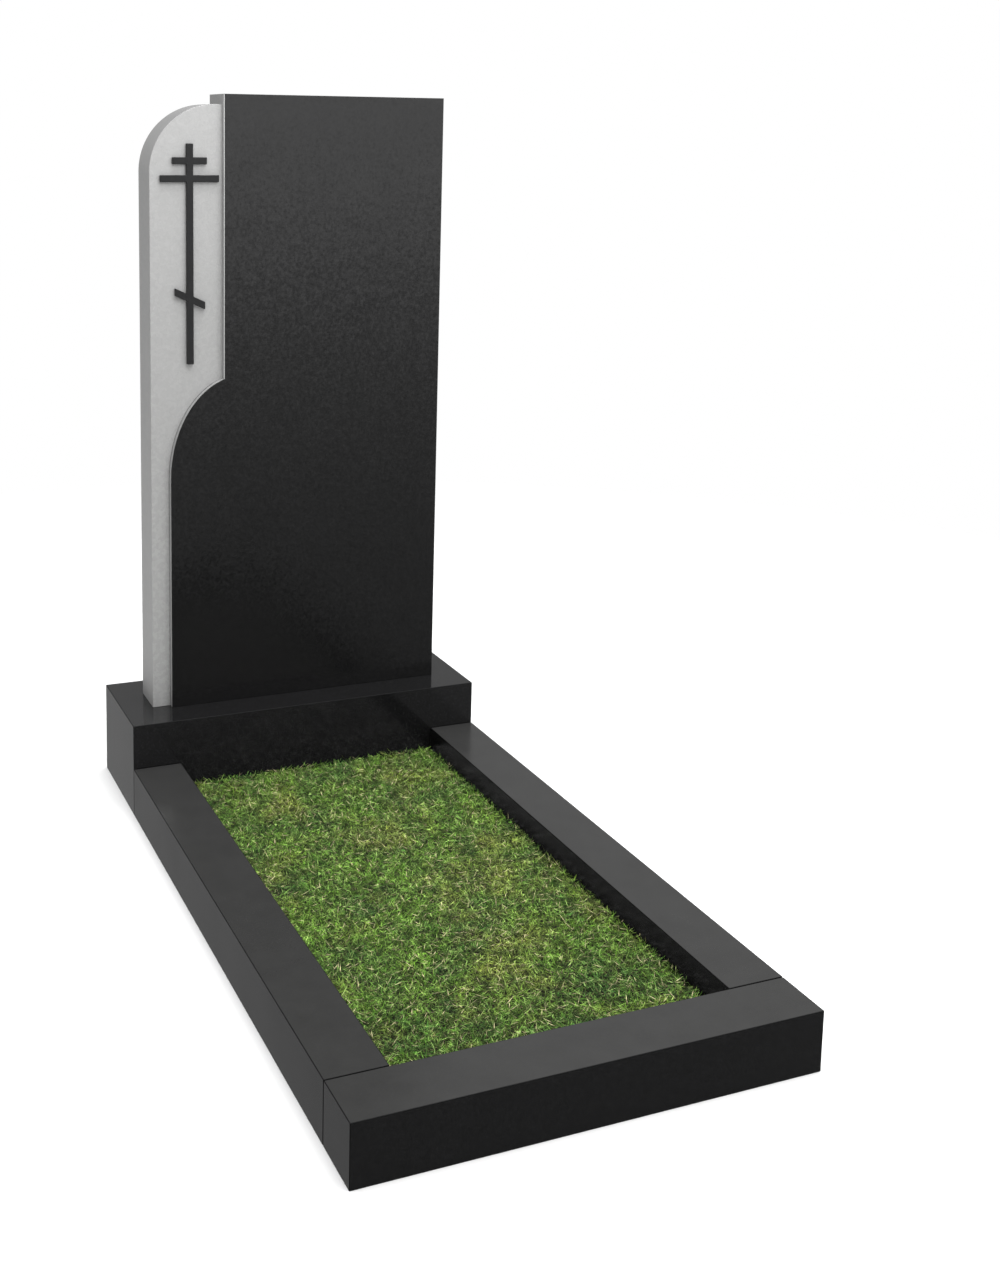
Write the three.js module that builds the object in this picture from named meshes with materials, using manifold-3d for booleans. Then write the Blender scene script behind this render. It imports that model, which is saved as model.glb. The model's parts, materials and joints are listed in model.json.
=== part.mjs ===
// Upright headstone: a grave monument of polished granite with a kerbed bed of turf in front of it.
//
// A two-colour stele stands on a black plinth. Its black slab has a curved shoulder on the left,
// and a lighter grey slab with a rounded head is fitted against that curve. A thin three-bar cross
// is fixed to the grey face. Three kerbs run forward from the plinth around a bed of turf.
//
// Units are millimetres. +Z is up and -Y is the front. The origin is on the ground, under the
// middle of the whole monument.

import * as THREE from 'three';
import { mergeVertices } from 'three/addons/utils/BufferGeometryUtils.js';
import Module from 'manifold-3d';

const wasm = await Module();
wasm.setup();

// Joints between stones, and the small chamfers along their edges
const joint = 0.4;
const arris = 2;

// Plinth
const plinthWidth = 600;
const plinthDepth = 200;
const plinthHeight = 150;

// Kerbs and the bed between them
const kerbWidth = 78;
const kerbHeight = 78;
const bedLength = 872;

// Stele height above the plinth
const steleHeight = 1000;

// Black slab: wide below its shoulder, narrower above it by the shoulder's step
const blackThickness = 80;
const blackFootWidth = 470;
const blackChamfer = 3;
const shoulderStep = 89;
const shoulderStart = 384;
const shoulderRise = 161;
const shoulderSweep = THREE.MathUtils.degToRad(74.7);

// Grey slab: its face lies behind the black one, and its head ends below the black one
const greyFootWidth = 30;
const greyThickness = 70;
const greyDrop = 16;
const greyHeadRadius = 108;
const greyChamfer = 4.5;

// Cross on the grey face: the bare stone left around it, and its bars
const crossOuterMargin = 16.5;
const crossInnerMargin = 6.5;
const crossTopMargin = 62;
const crossFootMargin = 26;
const crossThickness = 6;
const crossBarWidth = 11;
const crossArris = 0.8;
const titleBarLength = 56;
const titleBarBelowTop = 27;
const mainBarBelowTop = 55;
const footBarLength = 49.5;
const footBarAboveFoot = 105.5;
const footBarTilt = THREE.MathUtils.degToRad(-24.7);

// Turf: a slab of soil and grass that fills the bed to below the kerbs' top
const turfHeight = 46;
const turfUnevenness = 1.6;
const turfWaveScale = 55;
const turfWaves = [[1.0, 0.4], [-0.8, 1.3], [2.9, 2.3]];
const turfCell = 22;

// Smoothness of the round stretches
const arcSegments = 20;

// Places that follow from the sizes above
const totalDepth = plinthDepth + bedLength + kerbWidth;
const backY = totalDepth / 2;
const plinthFrontY = backY - plinthDepth;
const frontKerbBackY = plinthFrontY - bedLength;
const bedCentreY = (plinthFrontY + frontKerbBackY) / 2;
const bedWidth = plinthWidth - 2 * kerbWidth;
const steleWidth = greyFootWidth + blackFootWidth;
const steleBackY = backY - (plinthDepth - blackThickness) / 2;
const steleLeft = -steleWidth / 2;
const steleRight = steleWidth / 2;
const blackFootLeft = steleLeft + greyFootWidth;
const blackHeadLeft = blackFootLeft + shoulderStep;
const greyHeight = steleHeight - greyDrop;
const mainBarLength = blackHeadLeft - steleLeft - crossOuterMargin - crossInnerMargin;
const crossX = steleLeft + crossOuterMargin + mainBarLength / 2;
const crossFootHeight = shoulderStart + shoulderRise + crossFootMargin;
const crossHeight = greyHeight - crossTopMargin - crossFootHeight;

const blackGranite = new THREE.MeshStandardMaterial({ color: 0x1f1f20, roughness: 0.12, metalness: 0 });
const greyGranite = new THREE.MeshStandardMaterial({ color: 0xb9b9b8, roughness: 0.3, metalness: 0 });
const crossPlate = new THREE.MeshStandardMaterial({ color: 0x2b2b2b, roughness: 0.35, metalness: 0 });
const turf = new THREE.MeshStandardMaterial({ color: 0x5a7a2e, roughness: 0.95, metalness: 0 });

// Boolean joins and cuts

function toSolid(geometry) {
  const bare = geometry.clone();
  bare.deleteAttribute('normal');
  bare.deleteAttribute('uv');
  const merged = mergeVertices(bare);
  return new wasm.Manifold(new wasm.Mesh({
    numProp: 3,
    vertProperties: new Float32Array(merged.attributes.position.array),
    triVerts: new Uint32Array(merged.index.array),
  }));
}

function toGeometry(solid) {
  const mesh = solid.getMesh();
  const geometry = new THREE.BufferGeometry();
  geometry.setAttribute('position', new THREE.BufferAttribute(mesh.vertProperties, 3));
  geometry.setIndex(new THREE.BufferAttribute(mesh.triVerts, 1));
  const faceted = geometry.toNonIndexed();
  faceted.computeVertexNormals();
  return faceted;
}

// Shapes shared by several stones

// A rectangular stone centred on its own axes in plan, standing on z = 0, with every edge chamfered.
function dressedBlock(width, depth, height, chamfer) {
  const x = width / 2;
  const y = depth / 2;
  const c = chamfer;
  const plan = new THREE.Shape([
    new THREE.Vector2(-x + c, -y),
    new THREE.Vector2(x - c, -y),
    new THREE.Vector2(x, -y + c),
    new THREE.Vector2(x, y - c),
    new THREE.Vector2(x - c, y),
    new THREE.Vector2(-x + c, y),
    new THREE.Vector2(-x, y - c),
    new THREE.Vector2(-x, -y + c),
  ]);
  const block = new THREE.ExtrudeGeometry(plan, {
    depth: height - 2 * chamfer,
    bevelEnabled: true,
    bevelSegments: 1,
    bevelThickness: chamfer,
    bevelSize: chamfer,
    bevelOffset: -chamfer,
  });
  return block.translate(0, 0, chamfer);
}

// An upright slab from its front outline: it runs forward from y = 0 by its thickness, and the
// edges of its front and back faces are chamfered.
function uprightSlab(outline, thickness, chamfer) {
  const slab = new THREE.ExtrudeGeometry(outline, {
    depth: thickness - 2 * chamfer,
    bevelEnabled: chamfer > 0,
    bevelSegments: 1,
    bevelThickness: chamfer,
    bevelSize: chamfer,
    bevelOffset: -chamfer,
    curveSegments: arcSegments,
  });
  return slab.rotateX(Math.PI / 2).translate(0, -chamfer, 0);
}

// Everything above z = foot in the stele's frame. It cuts a slab's foot flat.
function aboveFoot(foot) {
  const reach = 2 * steleHeight;
  const room = new THREE.BoxGeometry(2 * steleWidth, 2 * plinthDepth, reach);
  return toSolid(room.translate(0, 0, foot + reach / 2));
}

// The line where the two slabs meet: straight up, over the curved shoulder, and straight up again.
// The shoulder is a stretch of an ellipse that starts upright. The whole line moves to the left and
// upwards by the clearance.
function followMeetingLine(path, bottom, top, clearance) {
  const radiusX = shoulderStep / (1 - Math.cos(shoulderSweep));
  const radiusZ = shoulderRise / Math.sin(shoulderSweep);
  const start = shoulderStart + clearance;
  path.moveTo(blackFootLeft - clearance, bottom);
  path.lineTo(blackFootLeft - clearance, start);
  path.absellipse(
    blackFootLeft - clearance + radiusX,
    start,
    radiusX,
    radiusZ,
    Math.PI,
    Math.PI - shoulderSweep,
    true,
  );
  path.lineTo(blackHeadLeft - clearance, top);
}

// Stones of the stele, in a frame whose z = 0 is the plinth's top and whose y = 0 is their back

function blackSlab() {
  const below = -2 * blackChamfer;
  const outline = new THREE.Shape();
  followMeetingLine(outline, below, steleHeight, 0);
  outline.lineTo(steleRight, steleHeight);
  outline.lineTo(steleRight, below);
  const slab = toSolid(uprightSlab(outline, blackThickness, blackChamfer));
  return toGeometry(slab.intersect(aboveFoot(joint)));
}

function greySlab() {
  const below = -2 * greyChamfer;
  const inner = blackHeadLeft + greyHeadRadius;
  const outline = new THREE.Shape();
  outline.moveTo(steleLeft, below);
  outline.lineTo(steleLeft, greyHeight - greyHeadRadius);
  outline.absarc(
    steleLeft + greyHeadRadius,
    greyHeight - greyHeadRadius,
    greyHeadRadius,
    Math.PI,
    Math.PI / 2,
    true,
  );
  outline.lineTo(inner, greyHeight);
  outline.lineTo(inner, below);
  const slab = toSolid(uprightSlab(outline, greyThickness, greyChamfer));

  const room = new THREE.Shape();
  followMeetingLine(room, 2 * below, 2 * steleHeight, joint);
  room.lineTo(inner + steleWidth, 2 * steleHeight);
  room.lineTo(inner + steleWidth, 2 * below);
  const roomDepth = 2 * greyThickness;
  const blackRoom = uprightSlab(room, roomDepth, 0).translate(0, (roomDepth - greyThickness) / 2, 0);

  return toGeometry(slab.intersect(aboveFoot(joint)).subtract(toSolid(blackRoom)));
}

// One bar of the cross, centred at (x, z). A tilted bar keeps upright ends.
function crossBar(length, height, tilt, x, z) {
  const rise = (length / 2) * Math.tan(tilt);
  const half = height / 2 / Math.cos(tilt);
  const outline = new THREE.Shape([
    new THREE.Vector2(-length / 2, -rise - half),
    new THREE.Vector2(length / 2, rise - half),
    new THREE.Vector2(length / 2, rise + half),
    new THREE.Vector2(-length / 2, -rise + half),
  ]);
  return toSolid(uprightSlab(outline, crossThickness, crossArris).translate(x, 0, z));
}

// The cross stands on z = 0 around x = 0, with its back at y = 0.
function threeBarCross() {
  const post = crossBar(crossBarWidth, crossHeight, 0, 0, crossHeight / 2);
  const title = crossBar(titleBarLength, crossBarWidth, 0, 0, crossHeight - titleBarBelowTop);
  const main = crossBar(mainBarLength, crossBarWidth, 0, 0, crossHeight - mainBarBelowTop);
  const foot = crossBar(footBarLength, crossBarWidth, footBarTilt, 0, footBarAboveFoot);
  return toGeometry(post.add(title).add(main).add(foot));
}

// A slab of turf, centred in plan and standing on z = 0. A few crossing waves make its top softly
// uneven, and its highest point is at the full height.
function turfSlab(width, length, height) {
  const columns = Math.max(1, Math.round(width / turfCell));
  const rows = Math.max(1, Math.round(length / turfCell));
  const slab = new THREE.BoxGeometry(width, length, height, columns, rows, 1);
  const points = slab.attributes.position;
  for (let i = 0; i < points.count; i += 1) {
    if (points.getZ(i) > 0) {
      const u = points.getX(i) / turfWaveScale;
      const v = points.getY(i) / turfWaveScale;
      const swell = turfWaves.reduce((sum, [a, b]) => sum + Math.sin(a * u + b * v) - 1, 0);
      points.setZ(i, height / 2 + (turfUnevenness * swell) / turfWaves.length);
    }
  }
  return slab.translate(0, 0, height / 2);
}

// Scene graph

function stone(name, geometry, material, x, y, z) {
  const mesh = new THREE.Mesh(geometry, material);
  mesh.name = name;
  mesh.position.set(x, y, z);
  return mesh;
}

const stele = new THREE.Group();
stele.position.set(0, steleBackY, plinthHeight);
stele.add(stone('black_slab', blackSlab(), blackGranite, 0, 0, 0));
stele.add(stone('grey_slab', greySlab(), greyGranite, 0, 0, 0));
stele.add(stone('cross', threeBarCross(), crossPlate, crossX, -greyThickness - joint, crossFootHeight));

const plinthBlock = dressedBlock(plinthWidth, plinthDepth, plinthHeight, arris);
const plinth = stone('plinth', plinthBlock, blackGranite, 0, backY - plinthDepth / 2, 0);

const kerbs = new THREE.Group();
const sideKerbX = (plinthWidth - kerbWidth) / 2;
const sideKerbLength = bedLength - 2 * joint;
const sideKerb = dressedBlock(kerbWidth, sideKerbLength, kerbHeight, arris);
const frontKerb = dressedBlock(plinthWidth, kerbWidth, kerbHeight, arris);
kerbs.add(stone('kerb_left', sideKerb, blackGranite, -sideKerbX, bedCentreY, 0));
kerbs.add(stone('kerb_right', sideKerb.clone(), blackGranite, sideKerbX, bedCentreY, 0));
kerbs.add(stone('kerb_front', frontKerb, blackGranite, 0, frontKerbBackY - kerbWidth / 2, 0));

const turfBlock = turfSlab(bedWidth - 2 * joint, bedLength - 2 * joint, turfHeight);
const turfBed = stone('turf_bed', turfBlock, turf, 0, bedCentreY, 0);

const group = new THREE.Group();
group.add(plinth, stele, kerbs, turfBed);

export default group;
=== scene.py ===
"""Upright headstone: a grave monument of polished granite with a kerbed bed of turf.

A black plinth carries a stele of two slabs. The black slab has a curved shoulder on its left, and
a grey slab with a rounded head is fitted against that curve and carries a thin three-bar cross.
Three kerbs run forward from the plinth round the turf.

The script is laid out as an add-on. Sizes and colours are properties, each piece or group of like
pieces has an operator, and a panel in the sidebar lists them. Places are in metres: +Z is up, -Y
is the front, and the origin is on the ground under the middle of the monument.
"""

import json
import math

import bmesh
import bpy
from bpy.props import FloatProperty, FloatVectorProperty, IntProperty, PointerProperty
from mathutils import Matrix, Vector

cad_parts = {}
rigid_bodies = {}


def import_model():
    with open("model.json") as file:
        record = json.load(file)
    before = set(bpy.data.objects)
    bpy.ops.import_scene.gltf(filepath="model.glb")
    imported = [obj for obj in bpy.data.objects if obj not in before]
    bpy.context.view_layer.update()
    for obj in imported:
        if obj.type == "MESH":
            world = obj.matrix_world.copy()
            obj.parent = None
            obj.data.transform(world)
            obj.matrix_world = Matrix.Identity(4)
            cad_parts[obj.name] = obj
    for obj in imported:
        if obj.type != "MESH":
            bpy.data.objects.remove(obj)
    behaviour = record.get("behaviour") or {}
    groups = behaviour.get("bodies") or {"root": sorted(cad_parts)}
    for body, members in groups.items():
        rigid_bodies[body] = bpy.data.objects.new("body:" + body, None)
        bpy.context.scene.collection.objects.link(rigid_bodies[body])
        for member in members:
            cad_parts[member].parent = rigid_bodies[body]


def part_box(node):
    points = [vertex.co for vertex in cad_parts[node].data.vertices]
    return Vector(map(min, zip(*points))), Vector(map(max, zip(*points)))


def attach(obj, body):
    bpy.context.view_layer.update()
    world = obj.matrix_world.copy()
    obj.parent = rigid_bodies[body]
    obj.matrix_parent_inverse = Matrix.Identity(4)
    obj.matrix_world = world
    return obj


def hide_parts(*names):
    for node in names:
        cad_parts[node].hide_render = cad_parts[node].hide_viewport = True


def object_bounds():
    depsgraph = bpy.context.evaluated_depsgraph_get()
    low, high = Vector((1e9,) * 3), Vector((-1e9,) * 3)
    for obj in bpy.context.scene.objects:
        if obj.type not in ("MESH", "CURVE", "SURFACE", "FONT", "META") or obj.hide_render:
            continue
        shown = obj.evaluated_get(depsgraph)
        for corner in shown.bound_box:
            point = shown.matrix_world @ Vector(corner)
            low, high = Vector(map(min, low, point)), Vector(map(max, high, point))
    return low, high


bl_info = {
    "name": "Upright headstone",
    "version": (1, 0, 0),
    "blender": (4, 5, 0),
    "location": "View3D > Sidebar > Headstone",
    "description": "Builds a two-colour granite headstone with kerbs and a bed of turf",
    "category": "Object",
}

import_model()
cad_low, cad_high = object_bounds()

# Corners of the solids that the pieces stand for
plinth_low, plinth_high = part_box("plinth")
black_low, black_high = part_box("black_slab")
grey_low, grey_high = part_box("grey_slab")
cross_low, cross_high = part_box("cross")
bed_low, bed_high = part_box("turf_bed")

# Less than any size on the stones, and more than the rounding of a coordinate
TINY = 0.00002

# Points nearer than this to a cut are joined to it
WELD = 0.000001

# Faces that meet at a smaller angle are shaded as one
SMOOTH_BELOW = math.radians(50)

# Parts of a face's normal: square to an axis, looking along it, and looking to the side
SQUARE = 0.999
ALONG = 0.9
SIDEWAYS = 0.3

# Each light's name, place, aim, size, power in watts, and whether the stones mirror it
LIGHTS = (
    ("key_light", (1.7, -1.5, 2.5), (-0.1, 0.3, 0.7), 1.0, 16, True),
    ("top_light", (0.0, -0.3, 6.0), (0.0, 0.0, 0.0), 4.5, 466, True),
    ("head_light", (-0.1, -0.1, 1.35), (-0.18, 0.45, 1.0), 0.4, 2.8, False),
)


# Sizes and colours

def length(name, description, default):
    return FloatProperty(name=name, description=description, default=default, min=0, unit="LENGTH")


def colour(name, description, default):
    return FloatVectorProperty(
        name=name, description=description, default=default, size=3, min=0, max=1, subtype="COLOR"
    )


class StoneSizes(bpy.types.PropertyGroup):
    """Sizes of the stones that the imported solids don't give"""

    joint: length("Joint", "Gap between neighbouring stones", 0.0001)
    arris: length("Arris", "Rounding along the edges of the plinth and kerbs", 0.0009)
    kerb_joint: length("Kerb joint", "Open joint at each end of the side kerbs", 0.0007)
    black_chamfer: length("Black chamfer", "Dressed edge round the black slab's faces", 0.001)
    grey_chamfer: length("Grey chamfer", "Dressed edge round the grey slab's faces", 0.0012)
    head_radius: length("Head radius", "Rounding of the grey slab's head", 0.108)
    shoulder_step: length("Shoulder step", "How far the shoulder narrows the black slab", 0.089)
    shoulder_start: length("Shoulder start", "Height above the plinth where it begins", 0.384)
    shoulder_rise: length("Shoulder rise", "Height of the curved stretch", 0.161)
    shoulder_sweep: FloatProperty(
        name="Shoulder sweep",
        description="Turn of the elliptic curve from its upright start",
        default=math.radians(74.7),
        subtype="ANGLE",
    )
    shoulder_rows: IntProperty(
        name="Shoulder rows", description="Level cuts along the curved shoulder", default=30, min=4
    )


class CrossSizes(bpy.types.PropertyGroup):
    """Sizes of the three-bar cross"""

    bar_width: length("Bar width", "Width of each bar seen from the front", 0.011)
    arris: length("Arris", "Rounding along the edges of the bars", 0.0008)
    title_length: length("Title bar length", "Length of the short upper bar", 0.056)
    title_below_top: length("Title bar below top", "From the post's top to its middle", 0.027)
    main_below_top: length("Main bar below top", "From the post's top to its middle", 0.055)
    foot_length: length("Foot bar length", "Width that the slanting bar covers", 0.0495)
    foot_above_foot: length("Foot bar height", "From the post's foot to its middle", 0.1055)
    foot_tilt: FloatProperty(
        name="Foot bar tilt",
        description="Slant of the lowest bar, high on the left",
        default=math.radians(-24.7),
        subtype="ANGLE",
    )


class TurfSizes(bpy.types.PropertyGroup):
    """Sizes and numbers of the turf"""

    soil_height: length("Soil height", "Top of the soil above the ground", 0.034)
    blade_length: length("Blade length", "Length of an average blade of grass", 0.0135)
    blade_width: length("Blade width", "Greatest width of an average blade", 0.0013)
    blades: IntProperty(
        name="Blades", description="Blades of grass to a square metre", default=330000, min=0
    )
    straws: IntProperty(
        name="Straws", description="Dry blades lying on top, to a square metre", default=4000, min=0
    )
    clovers: IntProperty(
        name="Clovers", description="Clover leaves to a square metre", default=2500, min=0
    )
    clover_reach: length("Clover reach", "Width of one leaflet of a clover leaf", 0.0026)
    seed: IntProperty(name="Seed", description="Start of the random scatter", default=7, min=0)


class Finishes(bpy.types.PropertyGroup):
    """Colours of the stones, the cross and the turf"""

    black_ground: colour("Black ground", "Body of the black granite", (0.003, 0.003, 0.0031))
    plinth_ground: colour("Plinth ground", "Body of the plinth's granite", (0.005, 0.005, 0.0052))
    # Dust and painted sheen: this pale tone lightens the kerb tops that look up
    dust_and_sheen: colour("Dust", "Dust and lime haze on the tops of the kerbs", (0.05, 0.05, 0.049))
    honed_ground: colour("Honed ground", "Honed left edge of the black slab", (0.36, 0.36, 0.358))
    honed_grain: colour("Honed grain", "Grains in the honed edge", (0.28, 0.28, 0.278))
    grey_ground: colour("Grey ground", "Body of the grey granite", (0.342, 0.342, 0.34))
    grey_cloud: colour("Grey cloud", "Darker clouds in the grey granite", (0.322, 0.322, 0.32))
    grey_grain: colour("Grey grain", "Dark grains in the grey granite", (0.16, 0.16, 0.16))
    cross_paint: colour("Cross paint", "Paint of the cross", (0.014, 0.014, 0.0145))
    grass_fresh: colour("Fresh grass", "Most of the blades", (0.12, 0.262, 0.026))
    grass_deep: colour("Deep grass", "Shaded and bluish patches", (0.03, 0.11, 0.022))
    grass_yellow: colour("Yellow grass", "Tired, yellowish patches", (0.31, 0.335, 0.062))
    grass_pale: colour("Pale grass", "Greyish blades with a dull bloom", (0.27, 0.37, 0.115))
    thatch: colour("Thatch", "Withered brown blades", (0.2, 0.16, 0.07))
    straw: colour("Straw", "Dry blades", (0.66, 0.6, 0.33))
    soil: colour("Soil", "Earth between the blades", (0.035, 0.024, 0.014))
    floor: colour("Floor", "Studio floor", (0.85, 0.85, 0.85))


# Modelling helpers

def start_clean():
    """Leaves edit mode and clears the selection."""
    if bpy.context.object and bpy.context.object.mode != "OBJECT":
        bpy.ops.object.mode_set(mode="OBJECT")
    bpy.ops.object.select_all(action="DESELECT")


def name_new(name):
    """Names the object just added and puts its place into its mesh."""
    shape = bpy.context.active_object
    shape.name = name
    shape.data.name = name
    bpy.ops.object.transform_apply(location=True, rotation=True, scale=True)
    return shape


def block(name, low, high):
    """A box between two corners."""
    start_clean()
    bpy.ops.mesh.primitive_cube_add(size=1, location=(low + high) / 2)
    bpy.context.active_object.scale = high - low
    return name_new(name)


def edit(shape, elements="VERT"):
    """Opens a shape in edit mode with everything selected."""
    start_clean()
    shape.select_set(True)
    bpy.context.view_layer.objects.active = shape
    bpy.ops.object.mode_set(mode="EDIT")
    bpy.ops.mesh.select_mode(type=elements)
    bpy.ops.mesh.select_all(action="SELECT")


def select_where(shape, kind, test):
    """Selects the points, edges or faces of the shape in edit mode that pass the test."""
    mesh = bmesh.from_edit_mesh(shape.data)
    bpy.ops.mesh.select_all(action="DESELECT")
    found = 0
    for element in getattr(mesh, kind):
        if test(element):
            element.select_set(True)
            found += 1
    mesh.select_flush_mode()
    bmesh.update_edit_mesh(shape.data)
    if not found:
        raise RuntimeError("Nothing to select on " + shape.name)


def cut_level(shape, heights):
    """Cuts the shape in edit mode level at each height."""
    for height in heights:
        bpy.ops.mesh.select_all(action="SELECT")
        bpy.ops.mesh.bisect(plane_co=(0, 0, height), plane_no=(0, 0, 1), threshold=WELD)


def apply_modifier(shape, kind, **settings):
    """Adds a modifier with its settings and applies it."""
    start_clean()
    shape.select_set(True)
    bpy.context.view_layer.objects.active = shape
    modifier = shape.modifiers.new(kind.lower(), kind)
    for name, value in settings.items():
        setattr(modifier, name, value)
    bpy.ops.object.modifier_apply(modifier=modifier.name)


def round_edges(shape, width, segments, **settings):
    """Rounds edges over and keeps the faces beside them flat."""
    start_clean()
    shape.select_set(True)
    bpy.context.view_layer.objects.active = shape
    bpy.ops.object.shade_smooth_by_angle(angle=SMOOTH_BELOW)
    apply_modifier(
        shape, "BEVEL", width=width, segments=segments, harden_normals=True, **settings
    )


def dressed_stone(name, low, high, arris):
    """A rectangular stone between two corners with every edge rounded a little."""
    stone = block(name, low, high)
    round_edges(stone, arris, 3, limit_method="NONE")
    return stone


def finish_stone(stone, polish, eased):
    """Gives the faces of a dressed stone their polish and its rounded edges a duller finish."""
    stone.data.materials.append(polish)
    stone.data.materials.append(eased)
    for face in stone.data.polygons:
        face.material_index = 0 if max(abs(part) for part in face.normal) > SQUARE else 1


def copy_moved(shape, name, move):
    """A copy of the shape with a mesh of its own, moved."""
    start_clean()
    shape.select_set(True)
    bpy.context.view_layer.objects.active = shape
    bpy.ops.object.duplicate(linked=False)
    bpy.ops.transform.translate(value=move)
    return name_new(name)


def belongs(piece, node):
    """Puts a finished piece on the root body and hides the solid that it stands for."""
    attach(piece, "root")
    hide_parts(node)


# Node helpers

def put(tree, kind, inputs=None, **settings):
    """Adds a node. Each input is given a value, or the socket that feeds it."""
    node = tree.nodes.new(kind)
    for name, value in settings.items():
        setattr(node, name, value)
    for name, value in (inputs or {}).items():
        if isinstance(value, bpy.types.NodeSocket):
            tree.links.new(value, node.inputs[name])
        else:
            node.inputs[name].default_value = value
    return node


def new_material(name, **values):
    """A material with one Principled shader, and its tree, shader and object coordinates."""
    material = bpy.data.materials.new(name)
    material.use_nodes = True
    tree = material.node_tree
    tree.nodes.clear()
    shader = put(tree, "ShaderNodeBsdfPrincipled")
    for socket, value in values.items():
        shader.inputs[socket.replace("_", " ")].default_value = value
    put(tree, "ShaderNodeOutputMaterial", {"Surface": shader.outputs["BSDF"]})
    place = put(tree, "ShaderNodeTexCoord").outputs["Object"]
    return material, tree, shader, place


def noise(tree, place, scale, detail=2.0, roughness=0.5):
    """A soft noise from 0 to 1 with its scale to a metre."""
    inputs = {"Vector": place, "Scale": scale, "Detail": detail, "Roughness": roughness}
    return put(tree, "ShaderNodeTexNoise", inputs).outputs["Fac"]


def cells(tree, place, scale):
    """A random value from 0 to 1 for each grain, with its scale to a metre."""
    found = put(tree, "ShaderNodeTexVoronoi", {"Vector": place, "Scale": scale})
    parts = put(tree, "ShaderNodeSeparateColor", {"Color": found.outputs["Color"]})
    return parts.outputs["Red"]


def span(tree, value, low, high, to_low=0.0, to_high=1.0):
    """Stretches a value from one range to another, and stops at its ends."""
    inputs = {"Value": value, "From Min": low, "From Max": high, "To Min": to_low, "To Max": to_high}
    return put(tree, "ShaderNodeMapRange", inputs).outputs["Result"]


def reckon(tree, operation, *values):
    """Works out one value from others."""
    inputs = dict(enumerate(values))
    return put(tree, "ShaderNodeMath", inputs, operation=operation).outputs["Value"]


def looking_up(tree):
    """How far the surface looks up: 1 on top, 0 on a wall and -1 underneath."""
    facing = put(tree, "ShaderNodeNewGeometry").outputs["Normal"]
    return put(tree, "ShaderNodeSeparateXYZ", {"Vector": facing}).outputs["Z"]


def grey(tree, value):
    """The grey of this brightness."""
    inputs = {"Red": value, "Green": value, "Blue": value}
    return put(tree, "ShaderNodeCombineColor", inputs).outputs["Color"]


def mix(tree, share, first, second, blend_type="MIX"):
    """Mixes two colours by a share."""
    inputs = {0: share, 6: first, 7: second}
    return put(
        tree, "ShaderNodeMix", inputs, data_type="RGBA", blend_type=blend_type
    ).outputs[2]


def rippled(tree, place, scale, amount):
    """The surface's normal leaned a little this way and that, as on polish that isn't quite flat."""
    inputs = {"Vector": place, "Scale": scale, "Detail": 3.0, "Roughness": 0.65}
    lean = put(tree, "ShaderNodeTexNoise", inputs).outputs["Color"]
    half = {0: lean, 1: (0.5, 0.5, 0.5)}
    centred = put(tree, "ShaderNodeVectorMath", half, operation="SUBTRACT").outputs["Vector"]
    scaled = put(tree, "ShaderNodeVectorMath", {0: centred, "Scale": amount}, operation="SCALE")
    flat = put(tree, "ShaderNodeNewGeometry").outputs["Normal"]
    both = {0: flat, 1: scaled.outputs["Vector"]}
    leaned = put(tree, "ShaderNodeVectorMath", both, operation="ADD").outputs["Vector"]
    return put(tree, "ShaderNodeVectorMath", {0: leaned}, operation="NORMALIZE").outputs["Vector"]


def bump(tree, height, strength, distance):
    """A fine relief from a height."""
    inputs = {"Height": height, "Strength": strength, "Distance": distance}
    return put(tree, "ShaderNodeBump", inputs).outputs["Normal"]


def opaque(rgb):
    return (*rgb, 1.0)


# Finishes

def polished_black(name, body_colour, low, high, ior=1.5, ripple=0.0, dusty_and_sheened=False):
    """Polished black granite with fine paler grains and a few glints of mica.

    The polish is hazy in places, from the lower to the higher roughness, and ripples a little.
    When asked for, a pale haze lies on the faces that look up: dust, and painted sheen that lightens
    the tops."""
    colours = bpy.context.scene.headstone_finishes
    material, tree, shader, place = new_material(name, IOR=ior)
    grains = span(tree, noise(tree, place, 620, 3.0, 0.65), 0.5, 0.72)
    mica = span(tree, cells(tree, place, 900), 0.93, 0.98, 0.0, 0.7)
    ground = opaque(body_colour)
    grain = opaque(tuple(2.8 * channel for channel in body_colour))
    mottle = span(tree, noise(tree, place, 210, 3.0, 0.65), 0.3, 0.7, 0.0, 0.45)
    cloudy = mix(tree, mottle, ground, grain)
    body = mix(tree, grains, cloudy, grain)
    tone = mix(tree, mica, body, grain, "ADD")
    if dusty_and_sheened:
        # Dust and painted sheen: faces that look up are lightened towards a pale grey, in patches
        patches = span(tree, noise(tree, place, 24, 3.0, 0.6), 0.3, 0.7, 0.48, 0.57)
        lying = span(tree, looking_up(tree), 0.75, 0.98)
        tone = mix(tree, reckon(tree, "MULTIPLY", patches, lying), tone, opaque(colours.dust_and_sheen))
    tree.links.new(tone, shader.inputs["Base Color"])
    haze = span(tree, noise(tree, place, 11, 2.0), 0.3, 0.7, low, high)
    tree.links.new(haze, shader.inputs["Roughness"])
    tree.links.new(rippled(tree, place, 210, ripple), shader.inputs["Normal"])
    return material


def eased_black(name, body_colour):
    """The rounded edges of the black granite, rubbed by hand: dark, and without a mirror's gloss."""
    material, tree, shader, place = new_material(name, IOR=1.2)
    grains = span(tree, noise(tree, place, 620, 3.0, 0.65), 0.45, 0.7)
    grain = opaque(tuple(2 * channel for channel in body_colour))
    tone = mix(tree, grains, opaque(body_colour), grain)
    tree.links.new(tone, shader.inputs["Base Color"])
    dull = span(tree, noise(tree, place, 60, 2.0), 0.3, 0.7, 0.35, 0.45)
    tree.links.new(dull, shader.inputs["Roughness"])
    return material


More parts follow.
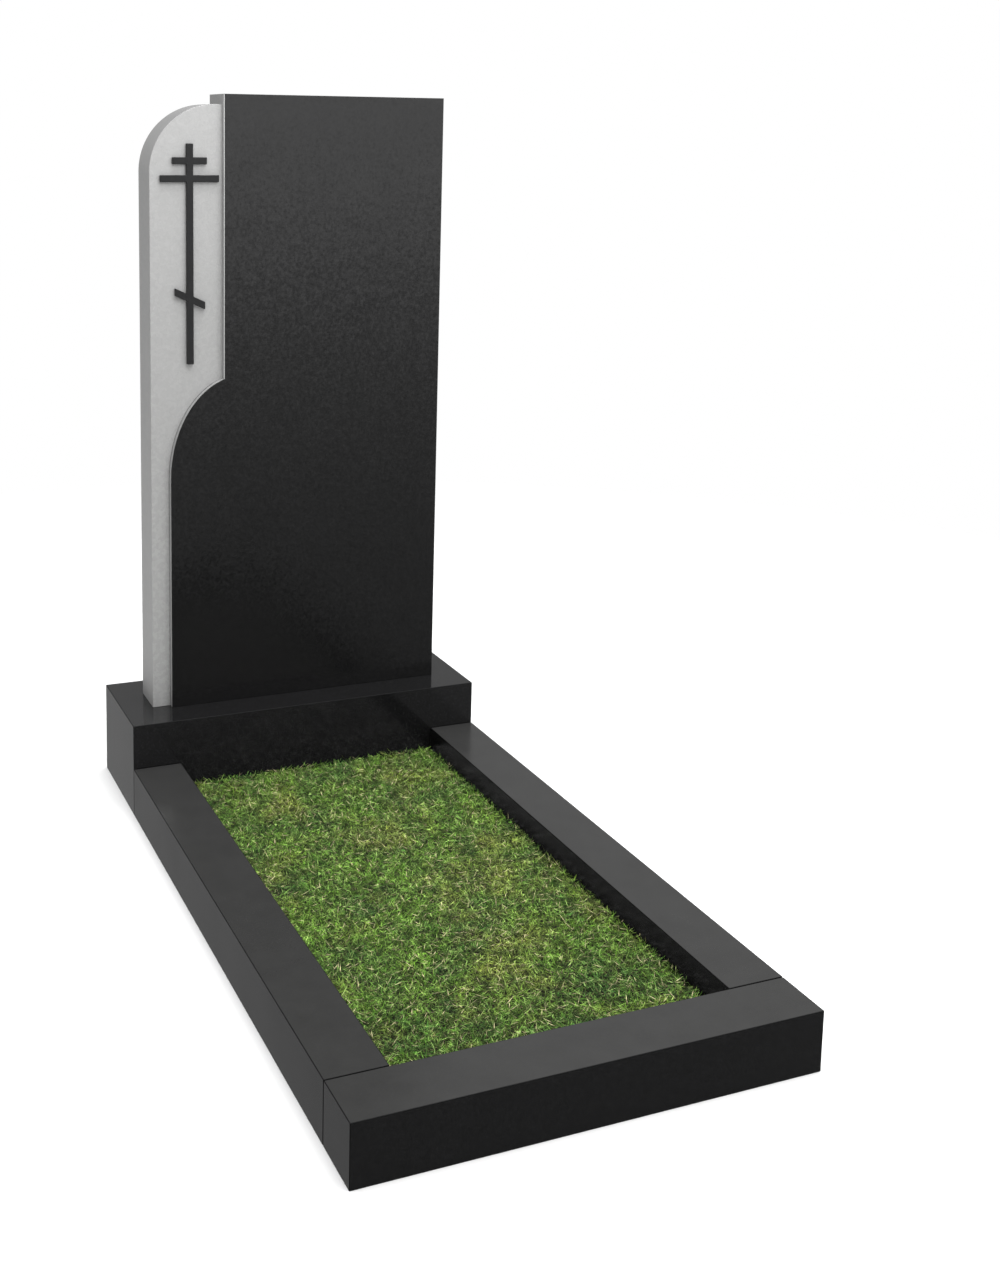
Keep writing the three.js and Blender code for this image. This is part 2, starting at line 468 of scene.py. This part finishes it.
def honed_black():
    """The same granite honed: the ground surface is dull and much paler."""
    colours = bpy.context.scene.headstone_finishes
    material, tree, shader, place = new_material("honed black granite", IOR=1.5)
    grains = span(tree, noise(tree, place, 700, 3.0, 0.7), 0.4, 0.65)
    tone = mix(tree, grains, opaque(colours.honed_ground), opaque(colours.honed_grain))
    tree.links.new(tone, shader.inputs["Base Color"])
    dull = span(tree, noise(tree, place, 60, 2.0), 0.3, 0.7, 0.42, 0.5)
    tree.links.new(dull, shader.inputs["Roughness"])
    relief = bump(tree, noise(tree, place, 900, 2.0), 0.25, 0.0002)
    tree.links.new(relief, shader.inputs["Normal"])
    return material


def satin_grey(name, clouding, graining, low, high):
    """Light grey granite with soft clouds and close dark grains, each with its strength.

    Faces that look up are painted darker, towards the grey of the dark grains, as painted shade."""
    colours = bpy.context.scene.headstone_finishes
    material, tree, shader, place = new_material(name, IOR=1.5)
    clouds = span(tree, noise(tree, place, 95, 4.0, 0.6), 0.35, 0.65, 0.0, clouding)
    ground = mix(tree, clouds, opaque(colours.grey_ground), opaque(colours.grey_cloud))
    grains = span(tree, noise(tree, place, 780, 3.0, 0.7), 0.56, 0.72, 0.0, graining)
    stone = mix(tree, grains, ground, opaque(colours.grey_grain))
    # Painted shade: the more a face looks up, the darker it is painted
    painted_top_shade = span(tree, looking_up(tree), 0.1, 0.8, 0.0, 0.8)
    tone = mix(tree, painted_top_shade, stone, opaque(colours.grey_grain))
    tree.links.new(tone, shader.inputs["Base Color"])
    haze = span(tree, noise(tree, place, 130, 2.0), 0.3, 0.7, low, high)
    tree.links.new(haze, shader.inputs["Roughness"])
    return material


def painted_cross():
    """Dark satin paint with the faint pimpling of a sprayed coat."""
    colours = bpy.context.scene.headstone_finishes
    material, tree, shader, place = new_material("cross paint", IOR=1.3)
    uneven = span(tree, noise(tree, place, 240, 3.0), 0.3, 0.7, 0.0, 0.35)
    lighter = tuple(min(1, 1.7 * channel) for channel in colours.cross_paint)
    tone = mix(tree, uneven, opaque(colours.cross_paint), opaque(lighter))
    tree.links.new(tone, shader.inputs["Base Color"])
    haze = span(tree, noise(tree, place, 500, 2.0), 0.3, 0.7, 0.3, 0.42)
    tree.links.new(haze, shader.inputs["Roughness"])
    relief = bump(tree, noise(tree, place, 1400, 2.0), 0.2, 0.0001)
    tree.links.new(relief, shader.inputs["Normal"])
    return material


def bare_soil():
    """Dark crumbly earth with paler bits of thatch."""
    colours = bpy.context.scene.headstone_finishes
    material, tree, shader, place = new_material("soil", Roughness=0.95)
    clods = span(tree, noise(tree, place, 130, 5.0, 0.7), 0.35, 0.7)
    darker = tuple(0.4 * channel for channel in colours.soil)
    earth = mix(tree, clods, opaque(darker), opaque(colours.soil))
    bits = span(tree, noise(tree, place, 420, 2.0), 0.62, 0.7, 0.0, 0.5)
    tone = mix(tree, bits, earth, opaque(colours.grass_deep))
    tree.links.new(tone, shader.inputs["Base Color"])
    relief = bump(tree, clods, 0.8, 0.002)
    tree.links.new(relief, shader.inputs["Normal"])
    return material


def living_grass():
    """Grass whose tone changes by patch, by blade and from root to tip, where painted shade darkens
    the root, with dry blades in it.
    """
    colours = bpy.context.scene.headstone_finishes
    material, tree, shader, place = new_material("grass", Roughness=0.55)
    shader.inputs["Specular IOR Level"].default_value = 0.15
    tone = put(tree, "ShaderNodeAttribute", attribute_name="blade_tone").outputs["Fac"]
    along = put(tree, "ShaderNodeAttribute", attribute_name="blade_along").outputs["Fac"]
    hue = reckon(tree, "FRACT", reckon(tree, "MULTIPLY", tone, 7.3))
    deep = span(tree, noise(tree, place, 15, 4.0, 0.65), 0.42, 0.62, 0.0, 0.85)
    yellow = span(tree, noise(tree, place, 11, 4.0, 0.65), 0.5, 0.7, 0.0, 0.65)
    by_patch = mix(tree, deep, opaque(colours.grass_fresh), opaque(colours.grass_deep))
    by_patch = mix(tree, yellow, by_patch, opaque(colours.grass_yellow))
    pale = span(tree, hue, 0.5, 1.0, 0.0, 0.65)
    by_patch = mix(tree, pale, by_patch, opaque(colours.grass_pale))
    withered = span(tree, hue, 0.0, 0.16, 0.85, 0.0)
    by_patch = mix(tree, withered, by_patch, opaque(colours.thatch))
    shade = span(tree, tone, 0.0, 0.95, 0.04, 2.15)
    by_blade = mix(tree, 1.0, by_patch, grey(tree, shade), "MULTIPLY")
    dry = span(tree, tone, 0.955, 0.965)
    dressed = mix(tree, dry, by_blade, opaque(colours.straw))
    # Painted shade: each blade is painted darker towards its root, where the turf shades it
    tip = span(tree, along, 0.0, 0.75, 0.2, 1.0)
    clump = span(tree, noise(tree, place, 85, 4.0, 0.7), 0.4, 0.6, 0.3, 1.5)
    light = grey(tree, reckon(tree, "MULTIPLY", tip, clump))
    whole = mix(tree, 1.0, dressed, light, "MULTIPLY")
    # The polished stones mirror the turf as a plain grey
    greyed = put(tree, "ShaderNodeRGBToBW", {"Color": whole}).outputs["Val"]
    mirrored = put(tree, "ShaderNodeLightPath").outputs["Is Glossy Ray"]
    tree.links.new(mix(tree, mirrored, whole, greyed), shader.inputs["Base Color"])
    return material


# Stage

def add_camera():
    """The photograph's viewing angle: from the front left, a little above the turf."""
    start_clean()
    place = (-0.8418, -1.9216, 1.0922)
    yaw = math.radians(21.399)
    pitch = math.radians(8.841)
    roll = math.radians(0.696)
    turned = Matrix.Rotation(-yaw, 4, "Z")
    lowered = Matrix.Rotation(math.pi / 2 - pitch, 4, "X")
    rolled = Matrix.Rotation(roll, 4, "Z")
    turn = (turned @ lowered @ rolled).to_euler()
    bpy.ops.object.camera_add(location=place, rotation=turn)
    camera = bpy.context.active_object
    camera.name = "camera"
    camera.data.lens = 43.188
    camera.data.sensor_width = 36
    camera.data.shift_x = 0.12
    camera.data.shift_y = -0.21
    camera.data.clip_end = 50
    bpy.context.scene.camera = camera


def ramp(tree, value, stops):
    """A grey tone for each value, given as (value, tone) stops."""
    found = put(tree, "ShaderNodeValToRGB", {"Fac": value})
    band = found.color_ramp
    band.elements[0].position, first = stops[0]
    band.elements[0].color = (first, first, first, 1)
    band.elements[1].position, last = stops[-1]
    band.elements[1].color = (last, last, last, 1)
    for position, tone in stops[1:-1]:
        band.elements.new(position).color = (tone, tone, tone, 1)
    return found.outputs["Color"]


def light_world():
    """A white backdrop for the camera, and soft grey walls with one bright side for the light."""
    world = bpy.data.worlds.new("studio")
    bpy.context.scene.world = world
    world.use_nodes = True
    tree = world.node_tree
    tree.nodes.clear()
    direction = put(tree, "ShaderNodeTexCoord").outputs["Generated"]
    height = put(tree, "ShaderNodeSeparateXYZ", {"Vector": direction}).outputs["Z"]
    level = span(tree, height, -1.0, 1.0)
    front = [(0, 0.06), (0.2, 0.12), (0.33, 0.145), (0.378, 0.2), (0.419, 0.27), (0.448, 0.45)]
    front += [(0.478, 0.9), (0.507, 1.0), (0.545, 1.0), (0.6, 0.45), (1.0, 0.5)]
    walls = [(0, 0.18), (0.5, 0.26), (0.68, 0.225), (0.8, 0.34), (1.0, 0.7)]
    bright = ramp(tree, level, front)
    plain = ramp(tree, level, walls)
    towards = Vector((0.55, -0.83, 0)).normalized()
    facing = put(tree, "ShaderNodeVectorMath", {0: direction, 1: towards}, operation="DOT_PRODUCT")
    side = span(tree, facing.outputs["Value"], 0.0, 0.75)
    walls_tone = mix(tree, side, plain, bright)
    lit = put(tree, "ShaderNodeBackground", {"Color": walls_tone, "Strength": 1.5})
    white = put(tree, "ShaderNodeBackground", {"Color": (1, 1, 1, 1), "Strength": 1.0})
    seen = put(tree, "ShaderNodeLightPath").outputs["Is Camera Ray"]
    both = put(
        tree,
        "ShaderNodeMixShader",
        {0: seen, 1: lit.outputs["Background"], 2: white.outputs["Background"]},
    )
    put(tree, "ShaderNodeOutputWorld", {"Surface": both.outputs["Shader"]})


def add_floor():
    """A pale floor that fades into the white backdrop far from the monument."""
    start_clean()
    radius, fade_start, fade_end = 5.0, 1.3, 2.7
    bpy.ops.mesh.primitive_circle_add(vertices=96, radius=radius, fill_type="NGON")
    floor = name_new("studio_floor")
    material, tree, shader, place = new_material("floor", Roughness=0.9)
    shader.inputs["Specular IOR Level"].default_value = 0.0
    shader.inputs["Base Color"].default_value = opaque(bpy.context.scene.headstone_finishes.floor)
    away = put(tree, "ShaderNodeVectorMath", {0: place}, operation="LENGTH").outputs["Value"]
    fade = span(tree, away, fade_start, fade_end)
    clear = put(tree, "ShaderNodeBsdfTransparent").outputs["BSDF"]
    faded = put(tree, "ShaderNodeMixShader", {0: fade, 1: shader.outputs["BSDF"], 2: clear})
    output = next(node for node in tree.nodes if node.type == "OUTPUT_MATERIAL")
    tree.links.new(faded.outputs["Shader"], output.inputs["Surface"])
    floor.data.materials.append(material)
    floor.visible_glossy = False


def add_light(name, place, aim, size, power, mirrored):
    """A square soft light that faces a point."""
    start_clean()
    turn = (Vector(aim) - Vector(place)).to_track_quat("-Z", "Y").to_euler()
    bpy.ops.object.light_add(type="AREA", location=place, rotation=turn)
    light = bpy.context.active_object
    light.name = name
    light.data.size = size
    light.data.energy = power
    light.visible_camera = False
    light.visible_glossy = mirrored


class HEADSTONE_OT_stage(bpy.types.Operator):
    """Sets the camera, a pale floor, a soft studio world and three soft lights"""

    bl_idname = "headstone.stage"
    bl_label = "Stage"

    def execute(self, context):
        add_camera()
        context.scene.view_settings.view_transform = "Standard"
        light_world()
        add_floor()
        for settings in LIGHTS:
            add_light(*settings)
        return {"FINISHED"}


# Stones

class HEADSTONE_OT_plinth(bpy.types.Operator):
    """Builds the polished block that carries the stele"""

    bl_idname = "headstone.plinth"
    bl_label = "Plinth"

    def execute(self, context):
        sizes = context.scene.headstone_stones
        stone = dressed_stone("plinth_block", plinth_low, plinth_high, sizes.arris)
        ground = context.scene.headstone_finishes.plinth_ground
        finish = polished_black("plinth granite", ground, 0.08, 0.12, ripple=0.02)
        finish_stone(stone, finish, eased_black("plinth edges", ground))
        belongs(stone, "plinth")
        return {"FINISHED"}


class HEADSTONE_OT_kerbs(bpy.types.Operator):
    """Builds the front kerb, one side kerb, and its copy on the other side"""

    bl_idname = "headstone.kerbs"
    bl_label = "Kerbs"

    def execute(self, context):
        sizes = context.scene.headstone_stones
        colours = context.scene.headstone_finishes
        finish = polished_black(
            "kerb granite", colours.black_ground, 0.19, 0.25, ior=1.42, ripple=0.03, dusty_and_sheened=True
        )
        eased = eased_black("kerb edges", colours.black_ground)
        low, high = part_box("kerb_left")
        joint = Vector((0, sizes.kerb_joint, 0))
        left = dressed_stone("left_kerb_stone", low + joint, high - joint, sizes.arris)
        finish_stone(left, finish, eased)
        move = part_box("kerb_right")[0] - low
        right = copy_moved(left, "right_kerb_stone", move)
        front = dressed_stone("front_kerb_stone", *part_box("kerb_front"), sizes.arris)
        finish_stone(front, finish, eased)
        for stone, node in ((left, "kerb_left"), (right, "kerb_right"), (front, "kerb_front")):
            belongs(stone, node)
        return {"FINISHED"}


def shoulder_rows(sizes):
    """(height above the plinth, distance from the foot's left side) along the curved shoulder."""
    radius_x = sizes.shoulder_step / (1 - math.cos(sizes.shoulder_sweep))
    radius_z = sizes.shoulder_rise / math.sin(sizes.shoulder_sweep)
    rows = []
    for step in range(sizes.shoulder_rows + 1):
        turn = sizes.shoulder_sweep * step / sizes.shoulder_rows
        height = sizes.shoulder_start + radius_z * math.sin(turn)
        rows.append((height, radius_x * (1 - math.cos(turn))))
    return rows


def weigh_outline(shape, test):
    """Marks the front and back edges that pass the test for the dressing of the edges."""
    edit(shape, "EDGE")
    faces = (min(v.co.y for v in shape.data.vertices), max(v.co.y for v in shape.data.vertices))

    def on_outline(edge):
        a, b = (point.co for point in edge.verts)
        level = abs(a.z - b.z) < TINY
        flat = any(abs(a.y - y) < TINY and abs(b.y - y) < TINY for y in faces)
        return flat and not level and test(a, b)

    def on_top(edge):
        a, b = (point.co for point in edge.verts)
        top = max(v.co.z for v in shape.data.vertices)
        return abs(a.y - b.y) < TINY and abs(a.z - top) < TINY and abs(b.z - top) < TINY

    select_where(shape, "edges", lambda edge: on_outline(edge) or on_top(edge))
    bpy.ops.transform.edge_bevelweight(value=1)
    bpy.ops.object.mode_set(mode="OBJECT")


class HEADSTONE_OT_black_slab(bpy.types.Operator):
    """Builds the black slab with its curved shoulder and its honed left edge"""

    bl_idname = "headstone.black_slab"
    bl_label = "Black slab"

    def execute(self, context):
        sizes = context.scene.headstone_stones
        slab = block("black_stele_slab", black_low, black_high)
        middle = (black_low.x + black_high.x) / 2
        base = plinth_high.z
        rows = [(base + height, shift) for height, shift in shoulder_rows(sizes)]
        edit(slab)
        cut_level(slab, [height for height, shift in rows])
        for height, shift in [*rows[1:], (black_high.z, sizes.shoulder_step)]:
            select_where(
                slab, "verts", lambda v: v.co.x < middle and abs(v.co.z - height) < TINY
            )
            bpy.ops.transform.translate(value=(shift, 0, 0))
        weigh_outline(slab, lambda a, b: True)
        round_edges(slab, sizes.black_chamfer, 3, limit_method="WEIGHT")
        ground = context.scene.headstone_finishes.black_ground
        finish = polished_black("slab granite", ground, 0.15, 0.2, ripple=0.16)
        slab.data.materials.append(finish)
        slab.data.materials.append(honed_black())
        shoulder_top = rows[-1][0]
        for face in slab.data.polygons:
            left = face.normal.x < -0.1
            side = abs(face.normal.y) < SIDEWAYS
            upper_lip = abs(face.normal.y) < SQUARE and face.center.z > shoulder_top
            face.material_index = 1 if left and (side or upper_lip) else 0
        belongs(slab, "black_slab")
        return {"FINISHED"}


class HEADSTONE_OT_grey_slab(bpy.types.Operator):
    """Builds the grey slab that follows the black one's shoulder and has a rounded head"""

    bl_idname = "headstone.grey_slab"
    bl_label = "Grey slab"

    def execute(self, context):
        sizes = context.scene.headstone_stones
        meeting = black_low.x + sizes.shoulder_step - sizes.joint
        high = Vector((meeting, grey_high.y, grey_high.z))
        slab = block("grey_stele_slab", grey_low, high)
        base = plinth_high.z + sizes.joint
        rows = [(base + height, shift) for height, shift in shoulder_rows(sizes)]
        edit(slab)
        cut_level(slab, [height for height, shift in rows])
        for height, shift in [(grey_low.z, 0), *rows[:-1]]:
            select_where(
                slab, "verts", lambda v: v.co.x > meeting - TINY and abs(v.co.z - height) < TINY
            )
            bpy.ops.transform.translate(value=(shift - sizes.shoulder_step, 0, 0))
        edit(slab, "EDGE")
        corner = Vector((grey_low.x, 0, grey_high.z))
        select_where(
            slab,
            "edges",
            lambda edge: all((v.co - corner).xz.length < TINY for v in edge.verts),
        )
        bpy.ops.mesh.bevel(offset=sizes.head_radius, segments=32, affect="EDGES")
        bpy.ops.object.mode_set(mode="OBJECT")
        outer = grey_low.x + sizes.head_radius
        weigh_outline(slab, lambda a, b: max(a.x, b.x) < outer + TINY and a.z + b.z > 0)
        round_edges(slab, sizes.grey_chamfer, 4, limit_method="WEIGHT")
        slab.data.materials.append(satin_grey("satin grey granite", 1.0, 0.4, 0.22, 0.32))
        slab.data.materials.append(satin_grey("honed grey granite", 0.3, 0.12, 0.45, 0.55))
        for face in slab.data.polygons:
            face.material_index = 1 if abs(face.normal.y) < SIDEWAYS else 0
        belongs(slab, "grey_slab")
        return {"FINISHED"}


class HEADSTONE_OT_cross(bpy.types.Operator):
    """Builds the three-bar cross by drawing bars out of its post"""

    bl_idname = "headstone.cross"
    bl_label = "Cross"

    def execute(self, context):
        sizes = context.scene.headstone_cross
        middle = (cross_low.x + cross_high.x) / 2
        half = sizes.bar_width / 2
        low = Vector((middle - half, cross_low.y, cross_low.z))
        high = Vector((middle + half, cross_high.y, cross_high.z))
        cross = block("three_bar_cross", low, high)
        bars = (
            (cross_high.z - sizes.title_below_top, sizes.title_length, 0.0),
            (cross_high.z - sizes.main_below_top, cross_high.x - cross_low.x, 0.0),
            (cross_low.z + sizes.foot_above_foot, sizes.foot_length, sizes.foot_tilt),
        )
        edit(cross, "FACE")
        for height, reach, tilt in bars:
            across = Vector((-math.sin(tilt), 0, math.cos(tilt)))
            centre = Vector((middle, 0, height))
            for side in (-1, 1):
                bpy.ops.mesh.select_all(action="SELECT")
                bpy.ops.mesh.bisect(
                    plane_co=centre + side * half * across, plane_no=across, threshold=WELD
                )
            for side in (-1, 1):
                start = centre + side * half * Vector((1, 0, math.tan(tilt)))
                draw = side * (reach / 2 - half)
                select_where(
                    cross,
                    "faces",
                    lambda face: side * face.normal.x > ALONG
                    and (face.calc_center_median() - start).xz.length < half / 2,
                )
                bpy.ops.mesh.extrude_faces_indiv()
                bpy.ops.transform.translate(value=(draw, 0, draw * math.tan(tilt)))
        bpy.ops.object.mode_set(mode="OBJECT")
        round_edges(cross, sizes.arris, 2, limit_method="ANGLE", angle_limit=math.radians(15))
        cross.data.materials.append(painted_cross())
        belongs(cross, "cross")
        return {"FINISHED"}


# Turf

class HEADSTONE_OT_soil(bpy.types.Operator):
    """Builds the earth that fills the bed below the grass"""

    bl_idname = "headstone.soil"
    bl_label = "Soil"

    def execute(self, context):
        sizes = context.scene.headstone_turf
        top = Vector((bed_high.x, bed_high.y, sizes.soil_height))
        soil = block("turf_soil", bed_low, top)
        edit(soil, "FACE")
        select_where(soil, "faces", lambda face: face.normal.z > ALONG)
        cuts, level_rim, clod_size, clod_depth = 60, 0.004, 0.02, 0.008
        bpy.ops.mesh.subdivide(number_cuts=cuts)
        select_where(
            soil,
            "verts",
            lambda v: v.co.z > top.z - TINY
            and bed_low.x + level_rim < v.co.x < bed_high.x - level_rim
            and bed_low.y + level_rim < v.co.y < bed_high.y - level_rim,
        )
        bpy.ops.object.mode_set(mode="OBJECT")
        bpy.context.object.vertex_groups.new(name="top")
        bpy.ops.object.mode_set(mode="EDIT")
        bpy.ops.object.vertex_group_assign()
        bpy.ops.object.mode_set(mode="OBJECT")
        clods = bpy.data.textures.new("clods", "CLOUDS")
        clods.noise_scale = clod_size
        apply_modifier(
            soil,
            "DISPLACE",
            texture=clods,
            texture_coords="LOCAL",
            direction="Z",
            mid_level=1.0,
            strength=clod_depth,
            vertex_group="top",
        )
        bpy.ops.object.shade_smooth()
        soil.data.materials.append(bare_soil())
        belongs(soil, "turf_bed")
        return {"FINISHED"}


def mark_along(shape, tall):
    """Keeps each point's share of the way from root to tip, for the blade's shading."""
    found = shape.data.attributes.new("blade_along", "FLOAT", "POINT")
    for point, value in zip(shape.data.vertices, found.data):
        value.value = min(1.0, max(0.0, point.co.z / tall))


def model_blade(name, tall, width, rings, lean):
    """A closed three-sided blade. Each ring is (share of the height, share of the width)."""
    start_clean()
    bpy.ops.mesh.primitive_cone_add(
        vertices=3, radius1=width / 2, radius2=0, depth=tall, location=(0, 0, tall / 2)
    )
    bpy.context.active_object.scale = (1.0, 0.4, 1.0)
    blade = name_new(name)
    edit(blade)
    fine_weld = 0.0000001
    for share, wide in rings:
        height = share * tall
        bpy.ops.mesh.select_all(action="SELECT")
        bpy.ops.mesh.bisect(plane_co=(0, 0, height), plane_no=(0, 0, 1), threshold=fine_weld)
        select_where(blade, "verts", lambda v: abs(v.co.z - height) < TINY)
        grow = wide / (1 - share)
        bpy.ops.transform.resize(value=(grow, grow, 1), center_override=(0, 0, height))
        bpy.ops.transform.translate(value=(0, lean * tall * share * share, 0))
    select_where(blade, "verts", lambda v: v.co.z > tall - TINY)
    bpy.ops.transform.translate(value=(0, lean * tall, 0))
    select_where(blade, "verts", lambda v: v.co.z < TINY)
    bpy.ops.mesh.merge(type="CENTER")
    bpy.ops.object.mode_set(mode="OBJECT")
    mark_along(blade, tall)
    return blade


def model_clover(name, reach):
    """Three small round leaflets on one point."""
    leaflets = []
    for turn in (0, 120, 240):
        start_clean()
        bpy.ops.mesh.primitive_cone_add(
            vertices=5, radius1=reach / 2, radius2=0, depth=reach / 6, location=(0, 0, 0)
        )
        bpy.context.active_object.location = (
            0.52 * reach * math.cos(math.radians(turn)),
            0.52 * reach * math.sin(math.radians(turn)),
            reach * 2,
        )
        bpy.context.active_object.rotation_euler = (0, 0, math.radians(turn))
        leaflets.append(name_new(name))
    for leaflet in leaflets:
        leaflet.select_set(True)
    bpy.context.view_layer.objects.active = leaflets[0]
    bpy.ops.object.join()
    mark_along(leaflets[0], reach * 2)
    return leaflets[0]


def grass_layer(tree, surface, shapes, density, seed, tilt, size, lift):
    """Scatters shapes on a surface with random turns, sizes and heights."""

    def chance(low, high, offset, kind="FLOAT"):
        inputs = {"Seed": seed + offset}
        if kind == "INT":
            inputs.update({4: low, 5: high})
            return put(tree, "FunctionNodeRandomValue", inputs, data_type=kind).outputs[2]
        inputs.update({2: low, 3: high})
        return put(tree, "FunctionNodeRandomValue", inputs, data_type=kind).outputs[1]

    points = put(
        tree,
        "GeometryNodeDistributePointsOnFaces",
        {"Mesh": surface, "Density": density, "Seed": seed},
    )
    rise = put(tree, "ShaderNodeCombineXYZ", {"Z": chance(*lift, 1)})
    lifted = put(
        tree,
        "GeometryNodeSetPosition",
        {"Geometry": points.outputs["Points"], "Offset": rise.outputs["Vector"]},
    )
    kinds = put(
        tree,
        "GeometryNodeCollectionInfo",
        {"Collection": shapes, "Separate Children": True, "Reset Children": True},
    )
    turn = put(
        tree,
        "ShaderNodeCombineXYZ",
        {
            "X": chance(math.radians(tilt[0]), math.radians(tilt[1]), 2),
            "Z": chance(0.0, 2 * math.pi, 3),
        },
    )
    placed = put(
        tree,
        "GeometryNodeInstanceOnPoints",
        {
            "Points": lifted.outputs["Geometry"],
            "Instance": kinds.outputs["Instances"],
            "Pick Instance": True,
            "Instance Index": chance(0, len(shapes.objects) - 1, 4, "INT"),
            "Rotation": turn.outputs["Vector"],
            "Scale": chance(*size, 5),
        },
    )
    return placed.outputs["Instances"], chance


def grass_tree(sizes, patch, kinds):
    """The nodes that grow one patch of turf from a flat piece of ground."""
    tree = bpy.data.node_groups.new("grow_turf", "GeometryNodeTree")
    tree.interface.new_socket("Geometry", in_out="INPUT", socket_type="NodeSocketGeometry")
    tree.interface.new_socket("Geometry", in_out="OUTPUT", socket_type="NodeSocketGeometry")
    ground = put(tree, "NodeGroupInput").outputs[0]
    seed = sizes.seed + 100 * patch
    # Shapes, number to a square metre, tilt in degrees, size, lift in metres, and tone
    layers = (
        (kinds["blades"], sizes.blades * 0.45, (-65, -10), (0.55, 0.85), (0.0, 0.004), (0.0, 0.95)),
        (kinds["laid"], sizes.blades * 0.55, (58, 92), (0.6, 1.05), (0.004, 0.012), (0.0, 1.0)),
        (kinds["laid"], sizes.straws, (76, 92), (0.8, 1.3), (0.011, 0.014), (0.9, 1.0)),
        (kinds["clovers"], sizes.clovers, (0, 35), (0.7, 1.2), (0.002, 0.007), (0.2, 0.8)),
    )
    join = tree.nodes.new("GeometryNodeJoinGeometry")
    for number, (shapes, density, tilt, size, lift, tones) in enumerate(layers):
        placed, chance = grass_layer(
            tree, ground, shapes, density, seed + 10 * number, tilt, size, lift
        )
        toned = put(
            tree,
            "GeometryNodeStoreNamedAttribute",
            {"Geometry": placed, "Name": "blade_tone", "Value": chance(*tones, 6)},
            data_type="FLOAT",
            domain="INSTANCE",
        )
        tree.links.new(toned.outputs["Geometry"], join.inputs["Geometry"])
    real = put(
        tree, "GeometryNodeRealizeInstances", {"Geometry": join.outputs["Geometry"]}
    ).outputs["Geometry"]
    place = put(tree, "GeometryNodeInputPosition").outputs["Position"]
    high = Vector((bed_high.x, bed_high.y, cad_high.z))
    raised = put(tree, "ShaderNodeVectorMath", {0: place, 1: bed_low}, operation="MAXIMUM")
    kept = put(
        tree, "ShaderNodeVectorMath", {0: raised.outputs["Vector"], 1: high}, operation="MINIMUM"
    )
    inside = put(
        tree, "GeometryNodeSetPosition", {"Geometry": real, "Position": kept.outputs["Vector"]}
    )
    put(tree, "NodeGroupOutput", {0: inside.outputs["Geometry"]})
    return tree


class HEADSTONE_OT_grass(bpy.types.Operator):
    """Models a few blades and a clover leaf, and grows the turf from them in patches"""

    bl_idname = "headstone.grass"
    bl_label = "Grass"

    def execute(self, context):
        sizes = context.scene.headstone_turf
        tall = sizes.blade_length
        wide = sizes.blade_width
        root_depth = 0.003
        short = ((0.45, 0.85),)
        long = ((0.35, 0.85), (0.72, 0.6))
        standing = ((0.8, 1.1, short, 0.3), (0.65, 1.3, short, 0.5), (1.1, 1.0, long, 0.7))
        lying = ((1.0, 1.0, short, 0.08), (0.75, 1.25, short, 0.15), (1.25, 0.9, short, 0.15))
        shapes = {
            kind: [
                model_blade(kind, tall * high, wide * broad, rings, lean)
                for high, broad, rings, lean in blades
            ]
            for kind, blades in (("blades", standing), ("laid", lying))
        }
        shapes["clovers"] = [model_clover("clover", sizes.clover_reach)]
        kinds = {}
        for kind, models in shapes.items():
            kinds[kind] = bpy.data.collections.new(kind)
            for model in models:
                kinds[kind].objects.link(model)
        finish = living_grass()
        columns, rows = 2, 3
        across = (bed_high.x - bed_low.x) / columns
        along = (bed_high.y - bed_low.y) / rows
        for patch in range(columns * rows):
            column, row = patch % columns, patch // columns
            start_clean()
            bpy.ops.mesh.primitive_plane_add(
                size=1,
                location=(
                    bed_low.x + (column + 0.5) * across,
                    bed_low.y + (row + 0.5) * along,
                    sizes.soil_height - root_depth,
                ),
            )
            bpy.context.active_object.scale = (across, along, 1)
            grass = name_new("turf_grass_%d" % (patch + 1))
            tree = grass_tree(sizes, patch, kinds)
            apply_modifier(grass, "NODES", node_group=tree)
            grass.data.materials.clear()
            grass.data.materials.append(finish)
            belongs(grass, "turf_bed")
            bpy.data.node_groups.remove(tree)
        for kind, models in shapes.items():
            for model in models:
                bpy.data.objects.remove(model)
            bpy.data.collections.remove(kinds[kind])
        return {"FINISHED"}


class HEADSTONE_PT_builder(bpy.types.Panel):
    """Lists the headstone's sizes, colours and building steps"""

    bl_label = "Upright headstone"
    bl_idname = "HEADSTONE_PT_builder"
    bl_space_type = "VIEW_3D"
    bl_region_type = "UI"
    bl_category = "Headstone"

    def draw(self, context):
        layout = self.layout
        for group in (
            context.scene.headstone_stones,
            context.scene.headstone_cross,
            context.scene.headstone_turf,
            context.scene.headstone_finishes,
        ):
            box = layout.box()
            for name in group.__annotations__:
                box.prop(group, name)
        for step in STEPS:
            layout.operator(step.bl_idname)


GROUPS = {
    "headstone_stones": StoneSizes,
    "headstone_cross": CrossSizes,
    "headstone_turf": TurfSizes,
    "headstone_finishes": Finishes,
}
STEPS = (
    HEADSTONE_OT_stage,
    HEADSTONE_OT_plinth,
    HEADSTONE_OT_kerbs,
    HEADSTONE_OT_black_slab,
    HEADSTONE_OT_grey_slab,
    HEADSTONE_OT_cross,
    HEADSTONE_OT_soil,
    HEADSTONE_OT_grass,
)


def register():
    for kind in (*GROUPS.values(), *STEPS, HEADSTONE_PT_builder):
        bpy.utils.register_class(kind)
    for name, kind in GROUPS.items():
        setattr(bpy.types.Scene, name, PointerProperty(type=kind))


def unregister():
    for name in GROUPS:
        delattr(bpy.types.Scene, name)
    for kind in reversed((*GROUPS.values(), *STEPS, HEADSTONE_PT_builder)):
        bpy.utils.unregister_class(kind)


def main():
    register()
    for step in STEPS:
        group, name = step.bl_idname.split(".")
        getattr(getattr(bpy.ops, group), name)()
    start_clean()


if __name__ == "__main__":
    main()
